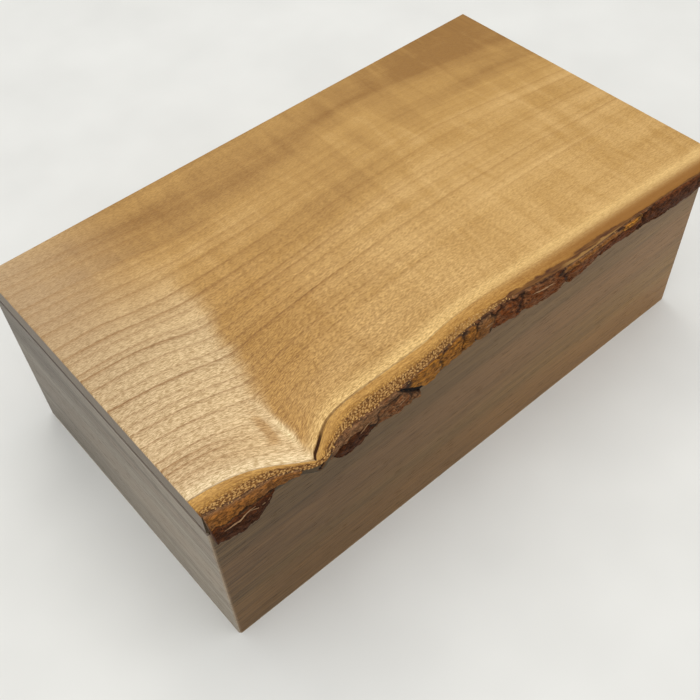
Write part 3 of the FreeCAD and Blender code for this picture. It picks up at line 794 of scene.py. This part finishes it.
class LidSkin:
    """The lid board's skin as rows of points along it, from the back over the top and round to the back."""

    def __init__(self):
        self.rows = []
        self.x = lid_columns()
        self.inset = np.clip(self.x, END_INSET, LID_LENGTH - END_INSET)
        self.levels = np.linspace(0.99, 0.01, EDGE_ROWS) * LID_THICKNESS
        board = surface_of("lid_board")
        self.edge = np.array([[front_edge(board, place, level) for level in self.levels]
                              for place in self.inset])
        self.top_edge = self.edge[:, 0]
        self.pebbles = np.maximum(smooth_line(PEBBLE_LINE, self.x), self.top_edge + BEAD_BED_LEAST)
        self.ring = np.maximum(smooth_line(RING_LINE, self.x), self.pebbles + INNER_BARK_LEAST)
        to_end = np.maximum(EDGE_EASE - np.minimum(self.x, LID_LENGTH - self.x), 0)
        self.ease = EDGE_EASE - np.sqrt(np.maximum(EDGE_EASE ** 2 - to_end ** 2, 0))
        self.top = LID_THICKNESS - self.ease
        self.draw_split()

    def draw_split(self):
        """How open the last ring is, how dark, and how wide: a crack by the knot, then a fading line."""
        past = self.x - KNOT
        right = past > 0
        self.crack = np.where(right, smoothstep(16, 5, past), np.exp(past / 0.8))
        mark = np.where(right, 0.95 * np.exp(-past / 60), 0.3 + 0.4 * np.exp(-self.x / 14))
        self.ring_mark = np.maximum(self.crack, mark)
        line = np.where(right, 0.36 * np.exp(-past / 40), 0.14 * np.exp(past / 22))
        self.groove = RING_GROOVE + SPLIT_WIDTH * self.crack + line

    def row(self, y, z, band, crack=0, inside=None):
        """A row along the whole lid, and how it is marked for the finish."""
        inside = y - self.ring if inside is None else inside
        values = (y, z, band, crack, inside)
        self.rows.append([np.broadcast_to(np.asarray(value, float), self.x.shape) for value in values])

    def planed_top(self):
        for drop in (EDGE_EASE, 0.3 * EDGE_EASE, 0):
            self.row(LID_BACK - (EDGE_EASE - drop) ** 2 / EDGE_EASE, self.top - drop, BACK_EDGE)
        start = self.ring + self.groove
        field = LID_BACK - 1.5 * EDGE_EASE - start
        for share in np.linspace(1, 0, TOP_ROWS)[:-1] ** TOP_CROWDING:
            self.row(start + field * share, self.top, PLANED_WOOD)
        self.row(start, self.top, LAST_RING)

    def last_ring(self):
        bottom = self.top - RING_GROOVE_DEPTH - SPLIT_DEPTH * self.crack
        for side in (0.5, -0.5):
            self.row(self.ring + side * self.groove, bottom, LAST_RING, self.ring_mark)
        self.row(self.ring - self.groove, self.top, INNER_BARK)

    def bark_side(self):
        """The smooth inner bark, then the pitted ground of the beads."""
        start = self.ring - self.groove
        for share in np.linspace(0, 1, INNER_BARK_ROWS + 1)[1:]:
            self.row(start + (self.pebbles - start) * share, self.top - BEAD_BED_DROP * share, share)
        for share in np.linspace(0, 1, BEAD_BED_ROWS + 1)[1:]:
            dip = BEAD_BED_DIP * math.sin(math.pi * min(share * 1.6, 0.5 + 0.4 * share))
            self.row(self.pebbles + (self.top_edge - self.pebbles) * share,
                     self.top - BEAD_BED_DROP - dip, BEADS + share)

    def natural_edge(self):
        """Down the natural edge, which swells and is chipped below the knot and shows black in the split,
        painted shadow.
        """
        bark = surface_of(*BARK_FOOT)
        past_bark_left = self.x > KNOT + 15
        for level, line in zip(self.levels[1:], self.edge.T[1:]):
            down = 1 - level / LID_THICKNESS
            swell = KNOT_SWELL * bump_shape(self.x, KNOT + 1, 4) * math.sin(math.pi * down)
            chip = bump_shape(self.x, KNOT + 0.4 + 0.5 * math.sin(down * 16), 0.6)
            chip = chip * float(smoothstep(0.5, 0.36, down))
            bare = np.array([front_edge(bark, place, level) is None for place in self.inset])
            # Chips, and the gap where no bark lies in front, are marked for painted black shadow.
            self.row(np.maximum(line - swell, self.top_edge) + KNOT_CHIP * chip,
                     np.clip(level, self.ease, LID_THICKNESS - self.ease), BARE_EDGE,
                     2 * np.maximum(chip, bare & past_bark_left))

    def underside(self):
        start = self.edge[:, -1]
        field = LID_BACK - EDGE_EASE - start
        for share in np.linspace(0, 1, UNDERSIDE_ROWS + 1)[1:]:
            self.row(start + field * share, self.ease, PLANED_WOOD, inside=8 + 90 * share)
        self.row(LID_BACK - 0.3 * EDGE_EASE, self.ease + 0.3 * EDGE_EASE, BACK_EDGE)
        self.row(LID_BACK, self.ease + EDGE_EASE, BACK_EDGE)


def branch_marks(x, y):
    """How each place lies to the buried branch, to the heartwood at the back with its painted shade, and to
    the flames by the knot.
    """
    branch = x - np.interp(y, *np.array(BRANCH_LINE, float).T)
    branch *= 1 + 2.5 * smoothstep(26, 12, y)
    # Darker to the back and the right: partly heartwood, partly painted shade falling off towards the far
    # corner.
    heart_and_back_shade = smoothstep(50, 136, y) * (0.6 + 0.4 * smoothstep(60, 240, x))
    flame = np.zeros_like(y)
    for place, behind, wide, deep, pale in KNOT_FLAMES:
        flame += pale * bump_shape(x, place, wide) * bump_shape(y, behind, deep)
    return {"branch": branch, "branch_near": smoothstep(100, 50, y), "heart_and_back_shade": heart_and_back_shade, "knot_flame": flame}


def build_lid():
    """The lid board: planed top, natural edge and underside as one closed skin."""
    skin = LidSkin()
    skin.planed_top()
    skin.last_ring()
    skin.bark_side()
    skin.natural_edge()
    skin.underside()
    y, z, band, crack, inside = (np.array(values).T for values in zip(*skin.rows))
    x = np.repeat(skin.x[:, None], y.shape[1], 1)
    attributes = {"ring_depth": growth_depth(skin.x, y) + LID_THICKNESS - z, "bark_band": band,
                  "inside": inside, "crack": crack, **branch_marks(x, y)}
    lid = new_piece("lid_planed_board", frame_points(x, y, z), loop_faces(*y.shape),
                    [cherry_top(), cherry_end()], attributes)
    for end in (-1, -2):
        lid.data.polygons[end].material_index = 1
        lid.data.polygons[end].use_smooth = False
    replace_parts(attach(lid, "lid"), "lid_board")
    return skin.x, skin.pebbles, skin.top_edge


def rough(x, z, scale, seed):
    """Uneven height at a place on the bark, from about -1 to 1."""
    return noise.fractal(Vector((x * scale, z * scale, seed)), 0.9, 2.1, 4)


def strip_ends(node):
    """A bark strip's left and right ends, at the top and at the foot."""
    ends = []
    for level in (LID_HIGH, LID_LOW):
        places = [(corner.co.x - LEFT_END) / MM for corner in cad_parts[node].data.vertices
                  if abs(corner.co.z - level) < 0.05 * MM]
        ends.append((min(places), max(places)))
    return ends


def bark_spot(node, x, down, seed):
    """How far the bark stands at a place, its tone, and how much of a dark crevice is there."""
    stand, tone, crevice = BARK_BETWEEN
    warp = 0.3 * rough(x * 0.5, down * 9, 0.32, seed + 5)
    warp += 0.03 * rough(x * 0.6, down * 9, 1.3, seed + 6)
    for middle, level, long, tall, patch_tone, patch_stand in BARK_PATCHES[node]:
        away = (abs((x - middle) / long) ** 3 + abs((down - level) / tall) ** 3) ** (1 / 3) + warp
        cover = float(smoothstep(1.09, 0.91, away))
        edge = float(smoothstep(1.24, 1.08, away) * smoothstep(0.92, 1.06, away))
        crevice = max(crevice * (1 - cover), 0.85 * edge)
        stand += (patch_stand * (1.06 - 0.3 * min(away, 1) ** 2) - stand) * cover
        tone += (patch_tone - tone) * cover
    split = float(smoothstep(0.09, 0, abs(rough(x * 0.16, down * 7, 1, seed + 9))))
    split *= 0.25 + 0.75 * float(smoothstep(0.15, 0.6, tone))
    return stand - 0.16 * split - 0.3 * crevice, tone, max(crevice, 0.5 * split)


def bark_sliver(surface, start, start_down, end, end_down, half, seed):
    """A thin sliver lying on the bark between two places, swelling and pointed at both ends."""
    share = np.linspace(0, 1, SLIVER_STEPS + 1)
    x = start + (end - start) * share
    z = (1 - start_down - (end_down - start_down) * share) * LID_THICKNESS
    z += np.array([0.35 * rough(place, 1, 0.35, seed + 12) for place in x])
    y = np.array([front_edge(surface, *spot) for spot in zip(x, z)])
    y = np.convolve(np.pad(y, 2, "edge"), np.ones(5) / 5, "valid")
    size = half * np.sqrt(np.sin(math.pi * np.clip(share, 0.02, 0.98)))
    size *= np.array([1 + 0.5 * rough(place, 5, 0.8, seed + 13) for place in x])
    around = [(0, 1), (-0.8, 0), (0, -1), (0.8, 0)]
    loops = [(x, y + out * size, z + rise * size) for out, rise in around]
    return frame_points(*np.array(loops).transpose(1, 2, 0)), loop_faces(len(x), len(around))


class BarkStrip:
    """One strip of bark. Its outer face follows the CAD strip, broken into plates, flakes and fibres."""

    def __init__(self, node, seed):
        self.node = node
        self.seed = seed
        self.strip_face = surface_of(node)
        self.board = surface_of("lid_board")
        (self.top_start, self.top_end), (self.low_start, self.low_end) = strip_ends(node)
        self.cad_start = max(self.top_start, self.low_start) + STRIP_INSET
        self.cad_end = min(self.top_end, self.low_end) - STRIP_INSET
        if self.top_start < LID_END_BARE:
            self.top_start = self.low_start = BARK_END_INSET
        if self.top_end > LID_LENGTH - LID_END_BARE:
            self.top_end = self.low_end = LID_LENGTH - BARK_END_INSET

    def read(self, surface, x, z, start, end):
        """How far behind the front a surface is at a place, kept clear of the surface's own ends."""
        level = min(max(z, STRIP_INSET), LID_THICKNESS - STRIP_INSET)
        return front_edge(surface, min(max(x, start), end), level)

    def wood(self, x, z):
        return self.read(self.board, x, z, END_INSET, LID_LENGTH - END_INSET)

    def down(self, x, share):
        """How far down from the top a place is, by its share of the way from the ragged head to the foot."""
        foot = float(smooth_line(BARK_FOOT[self.node], np.array([x]))[0])
        foot = min(1, foot + 0.1 * rough(x, 9, 0.5, self.seed + 3))
        head = 0.03 * abs(rough(x, 3, 0.6, self.seed + 2))
        return head + (foot - head) * share

    def face_point(self, along, share):
        """A point of the outer face by its shares along and down, with its tone, crevice and no sliver."""
        start = self.top_start + (self.low_start - self.top_start) * share
        end = self.top_end + (self.low_end - self.top_end) * share
        x = start + (end - start) * along
        down = self.down(x, share)
        z = (1 - down) * LID_THICKNESS
        wood = self.wood(x, z)
        reach = self.read(self.strip_face, x, z, self.cad_start, self.cad_end)
        reach = wood - BARK_LEAST if reach is None else min(reach, wood - BARK_LEAST)
        stand, tone, crevice = bark_spot(self.node, x, down, self.seed)
        lump = 0.26 * rough(x * 0.7, z, 0.4, self.seed) + 0.12 * rough(x * 0.4, z, 1.4, self.seed + 7)
        from_start = along if start > 1 else 1
        from_end = 1 - along if end < LID_LENGTH - 1 else 1
        near_end = min(from_start, from_end) * (end - start)
        broken = float(smoothstep(0, 0.8 + 0.5 * abs(lump), near_end + 0.1))
        rolled = math.sqrt(max(0, 1 - max(0, 1 - 14 * min(share, 1 - share)) ** 2))
        out = (stand + lump) * broken * (0.6 + 0.4 * rolled)
        y = wood - BARK_SUNK + (reach - wood + BARK_SUNK) * min(out, 1)
        return (x, y, z), (tone, max(crevice, 1 - broken), 0)

    def section(self, along):
        """A closed loop of points and their marks: down the outer face and up behind it, in the wood."""
        loop = [self.face_point(along, row / BARK_ROWS) for row in range(BARK_ROWS + 1)]
        for row in (BARK_ROWS, BARK_ROWS // 2, 0):
            x, _, z = loop[row][0]
            loop.append(((x, self.wood(x, z) + BARK_BACK, z), (0.6, 0.4, 0)))
        return loop


def build_bark(node, seed):
    """One strip of bark with the slivers that lie on it."""
    shape = BarkStrip(node, seed)
    columns = int((shape.low_end - shape.top_start) / BARK_STEP)
    sections = [shape.section(column / columns) for column in range(columns + 1)]
    places, marks = zip(*[spot for section in sections for spot in section])
    points = frame_points(*np.array(places).T)
    faces = loop_faces(len(sections), len(sections[0]))
    marks = list(marks)
    surface = BVHTree.FromPolygons(points, faces)
    for sliver in BARK_SLIVERS[node]:
        new_points, new_faces = bark_sliver(surface, *sliver, seed)
        faces += [tuple(len(points) + corner for corner in face) for face in new_faces]
        points += new_points
        marks += [(0.4, 0, 1)] * len(new_points)
    attributes = dict(zip(("tone", "crevice", "pale"), zip(*marks)))
    strip = new_piece(node + "_rough", points, faces, [BARK], attributes)
    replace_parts(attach(strip, "lid"), node)


class Steps(Nodes):
    """A Geometry Nodes tree in the making, with named inputs and one geometry output."""

    def __init__(self, name, inputs):
        super().__init__(bpy.data.node_groups.new(name, "GeometryNodeTree"))
        sockets = self.tree.interface
        for label, kind in {"Geometry": "Geometry", **inputs, "Material": "Material"}.items():
            sockets.new_socket(label, in_out="INPUT", socket_type="NodeSocket" + kind)
        sockets.new_socket("Geometry", in_out="OUTPUT", socket_type="NodeSocketGeometry")
        self.inputs = self.tree.nodes.new("NodeGroupInput").outputs

    def scatter(self, low, high):
        """A random vector for each point."""
        inputs = {"Min": low, "Max": high, "Seed": self.inputs["Seed"]}
        return self.add("FunctionNodeRandomValue", inputs, data_type="FLOAT_VECTOR")

    def end(self, **instances):
        """Close the tree: instances on points, made real meshes with their material."""
        inputs = {key.capitalize(): value for key, value in instances.items()}
        geometry = self.add("GeometryNodeInstanceOnPoints", inputs)
        real = self.add("GeometryNodeRealizeInstances", {"Geometry": geometry})
        done = self.add("GeometryNodeSetMaterial", {"Geometry": real, "Material": self.inputs["Material"]})
        self.tree.links.new(done, self.tree.nodes.new("NodeGroupOutput").inputs[0])
        return self.tree


def grown_mesh(name, base, tree, values):
    """A plain piece from a base mesh and a node tree, with the tree's inputs set by name."""
    maker = linked(name + "_maker", base)
    modifier = maker.modifiers.new("grow", "NODES")
    modifier.node_group = tree
    for item in tree.interface.items_tree:
        if item.item_type == "SOCKET" and item.in_out == "INPUT" and item.name in values:
            modifier[item.identifier] = values[item.name]
    graph = bpy.context.evaluated_depsgraph_get()
    mesh = bpy.data.meshes.new_from_object(maker.evaluated_get(graph), depsgraph=graph)
    bpy.data.objects.remove(maker)
    return linked(name, mesh)


def pebble_tree():
    """Grains set along rows, each turned with its row and a little at random."""
    inputs = {"Spacing": "Float", "Grain Size": "Vector", "Scatter": "Vector", "Lean": "Float",
              "Seed": "Int"}
    steps = Steps("inner_bark_pebbles", inputs)
    given = steps.inputs
    rows = steps.add("GeometryNodeMeshToCurve", {"Mesh": given["Geometry"]})
    rows = steps.add("GeometryNodeResampleCurve", {"Curve": rows, "Length": given["Spacing"]}, mode="LENGTH")
    tangent = steps.add("GeometryNodeInputTangent", {})
    along = steps.add("FunctionNodeAlignRotationToVector", {"Vector": tangent}, axis="X", pivot_axis="Z")
    lean = steps.add("ShaderNodeCombineXYZ", {"Z": given["Lean"]})
    tilt = steps.scatter((-0.2, -0.2, -0.6), (0.2, 0.2, 0.6))
    tilt = steps.add("ShaderNodeVectorMath", {0: tilt, 1: lean})
    tilt = steps.add("FunctionNodeEulerToRotation", {"Euler": tilt})
    turn = steps.add("FunctionNodeRotateRotation", {"Rotation": along, "Rotate By": tilt},
                     rotation_space="LOCAL")
    back = steps.add("ShaderNodeVectorMath", {0: given["Scatter"], "Scale": -1}, operation="SCALE")
    offset = steps.scatter(back, given["Scatter"])
    rows = steps.add("GeometryNodeSetPosition", {"Geometry": rows, "Offset": offset})
    grain = steps.add("GeometryNodeMeshUVSphere", {"Segments": 8, "Rings": 4})
    grain = steps.add("GeometryNodeSetShadeSmooth", {"Geometry": grain})
    grain = steps.add("GeometryNodeTransform", {"Geometry": grain, "Scale": given["Grain Size"]})
    size = steps.scatter((0.5, 0.65, 0.7), (1.3, 1.15, 1.05))
    return steps.end(points=rows, instance=grain, rotation=turn, scale=size)


def build_pebbles(x, start_line, edge):
    """Rows of pale grains standing in the pitted band between the smooth wood and the bark."""
    wide = start_line - edge
    corners, lines = [], []
    for number in range(BEAD_ROWS):
        offset = BEAD_FIRST_ROW + number * BEAD_ROW_GAP
        sway = BEAD_SWAY * np.array([noise.noise(Vector((place * 0.25, number, 4))) for place in x])
        inside = (x > BEAD_START * (1 + number % 2)) & (x < PEBBLES_END - BEAD_ROW_SHORTER * number)
        inside &= offset + sway < wide + 0.1
        y = edge + offset + 0.5 * sway
        previous = None
        for index in np.flatnonzero(inside):
            corners.append((x[index], y[index], LID_THICKNESS - BEAD_SINK))
            if previous == index - 1:
                lines.append((len(corners) - 2, len(corners) - 1))
            previous = index
    base = bpy.data.meshes.new("pebble_rows")
    base.from_pydata(frame_points(*np.array(corners).T), lines, [])
    values = {"Spacing": BEAD_SPACING * MM, "Grain Size": [part * MM for part in BEAD_HALF_SIZE],
              "Lean": BEAD_LEAN, "Seed": BEAD_SEED, "Scatter": [part * MM for part in BEAD_SCATTER],
              "Material": pebble_finish()}
    pebbles = grown_mesh("inner_bark_pebbles", base, pebble_tree(), values)
    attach(pebbles, "lid")


def screw_tree():
    """Slotted countersunk screws driven upwards, one at each point."""
    inputs = {"Head": "Float", "Shank": "Float", "Length": "Float", "Slot": "Float", "Seed": "Int"}
    steps = Steps("countersunk_screws", inputs)
    given = steps.inputs
    head_half = steps.math("MULTIPLY", given["Head"], 0.5)
    shank_half = steps.math("MULTIPLY", given["Shank"], 0.5)
    sink = steps.math("SUBTRACT", head_half, shank_half)
    head = steps.add("GeometryNodeMeshCone", {"Vertices": SCREW_SIDES, "Radius Top": shank_half,
                                              "Radius Bottom": head_half, "Depth": sink})
    bare = steps.math("SUBTRACT", given["Length"], sink)
    whole = steps.add("GeometryNodeExtrudeMesh", {"Mesh": head, "Selection": head.node.outputs["Top"],
                                                  "Offset Scale": bare})
    size = steps.add("ShaderNodeCombineXYZ", {"X": given["Head"], "Y": given["Slot"], "Z": given["Slot"]})
    size = steps.add("ShaderNodeVectorMath", {0: size, 1: (1.1, 1, 2)}, operation="MULTIPLY")
    slot = steps.add("GeometryNodeMeshCube", {"Size": size})
    screw = steps.add("GeometryNodeMeshBoolean", {"Mesh 1": whole, "Mesh 2": slot}, operation="DIFFERENCE",
                      solver="EXACT")
    turn = steps.scatter((0, 0, 0), (0, 0, 3.14))
    turn = steps.add("FunctionNodeEulerToRotation", {"Euler": turn})
    points = steps.add("GeometryNodeMeshToPoints", {"Mesh": given["Geometry"]})
    return steps.end(points=points, instance=screw, rotation=turn)


def screw_places(low, high, count_x, count_y):
    """Middles of a grid of screws, from the corners of the group's box and the head's size."""
    half = CAD_SCREW_HEAD / 2 * MM
    columns = np.linspace(low.x + half, high.x - half, count_x)
    rows = np.linspace(low.y + half, high.y - half, count_y)
    return [(x, y) for x in columns for y in rows]


def build_screws(node, grid, tree):
    """The screws of one CAD group, a little shorter than the group is tall."""
    low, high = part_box(node)
    places = screw_places(low, high, *grid)
    base = bpy.data.meshes.new(node + "_places")
    base.from_pydata([(x, y, low.z + SCREW_RAISED * MM) for x, y in places], [], [])
    values = {"Head": SCREW_HEAD * MM, "Shank": SCREW_SHANK * MM, "Slot": SCREW_SLOT * MM,
              "Length": high.z - low.z - SCREW_SHORTER * MM, "Seed": len(places), "Material": BRASS}
    screws = grown_mesh(node + "_slotted", base, tree, values)
    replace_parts(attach(screws, "lid"), node)


def dress_cad_nodes():
    """Finishes of the CAD pieces that show as they are."""
    brown = srgb(108, 82, 49), srgb(122, 94, 57), srgb(132, 103, 65), srgb(134, 98, 60)
    # Grey walnut of the left wall: painted cool shade and sheen. The right wall's tones lie between it and
    # the brown.
    cool_shade_grey = srgb(110, 99, 85), srgb(140, 129, 113), srgb(158, 147, 130), srgb(146, 131, 113)
    between = srgb(108, 88, 62), srgb(128, 106, 78), srgb(142, 120, 92), srgb(140, 112, 82)
    pale_maple = srgb(190, 156, 112), srgb(224, 196, 152)
    front = walnut("walnut_front", "x", brown, 0.62, 1.14, 0.9, 0.34)
    left = walnut("walnut_left", "y", cool_shade_grey, 1.18, 0.74)
    right = walnut("walnut_right", "y", between, 0.95, 0.95, 0.4)
    panel = walnut("walnut_panel", "x", brown)
    maple = plain_wood("maple_planed", "y", *pale_maple)
    maple_long = plain_wood("maple_long", "x", *pale_maple)
    cherry = plain_wood("cherry_batten", "y", srgb(160, 108, 62), srgb(204, 152, 98))
    finishes = {"wall_front": front, "wall_back": front, "wall_left": left, "wall_right": right,
                "bottom_panel": panel, "lock_bar": maple, "keeper": maple_long, "bore_plug_front": maple,
                "bore_plug_back": maple, "batten_left": cherry, "batten_right": cherry,
                "lock_pin_front": BRASS, "lock_pin_back": BRASS}
    splines = {name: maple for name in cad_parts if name.startswith("corner_spline")}
    for name, material in {**finishes, **splines}.items():
        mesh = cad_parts[name].data
        mesh.materials.clear()
        mesh.materials.append(material)


def area_light(name, place, size, power, colour):
    light = bpy.data.lights.new(name, "AREA")
    light.shape = "SQUARE"
    light.size = size
    light.energy = power
    light.color = colour
    aim(linked(name, light), place, LAMP_AIM)


def build_stage():
    """A plain pale floor, a pale sky and soft lamps."""
    finish = Finish("pale_floor")
    clouds = finish.noise(finish.place(), 0.02, 2)
    finish.colour = finish.ramp(clouds, [(0.3, srgb(224, 224, 220)), (0.7, srgb(230, 230, 226))])
    corners = [(x * FLOOR_HALF, y * FLOOR_HALF, 0) for x, y in ((-1, -1), (1, -1), (1, 1), (-1, 1))]
    floor = new_piece("floor", corners, [(0, 1, 2, 3)], [finish.surface(0.9)])
    world = bpy.data.worlds.new("studio")
    world.use_nodes = True
    background = world.node_tree.nodes["Background"]
    background.inputs["Color"].default_value = SKY_COLOUR
    background.inputs["Strength"].default_value = SKY_STRENGTH
    bpy.context.scene.world = world
    for name, lamp in LAMPS.items():
        area_light(name, *lamp)


def place_camera():
    """The photograph's camera."""
    camera = linked("camera", bpy.data.cameras.new("camera"))
    camera.data.lens = CAMERA_LENS
    camera.data.shift_y = CAMERA_RISE
    camera.data.clip_start = CAMERA_NEAR
    aim(camera, CAMERA_PLACE, CAMERA_AIM, CAMERA_ROLL)
    bpy.context.scene.camera = camera
    bpy.context.scene.view_settings.view_transform = "Standard"


BARK = bark_finish()
BRASS = turned_brass("brass_turned")
dress_cad_nodes()
build_pebbles(*build_lid())
for bark_node, bark_seed in BARK_SEEDS.items():
    build_bark(bark_node, bark_seed)
SCREW_TREE = screw_tree()
for screw_node, screw_grid in SCREW_GRIDS.items():
    build_screws(screw_node, screw_grid, SCREW_TREE)
build_stage()
place_camera()
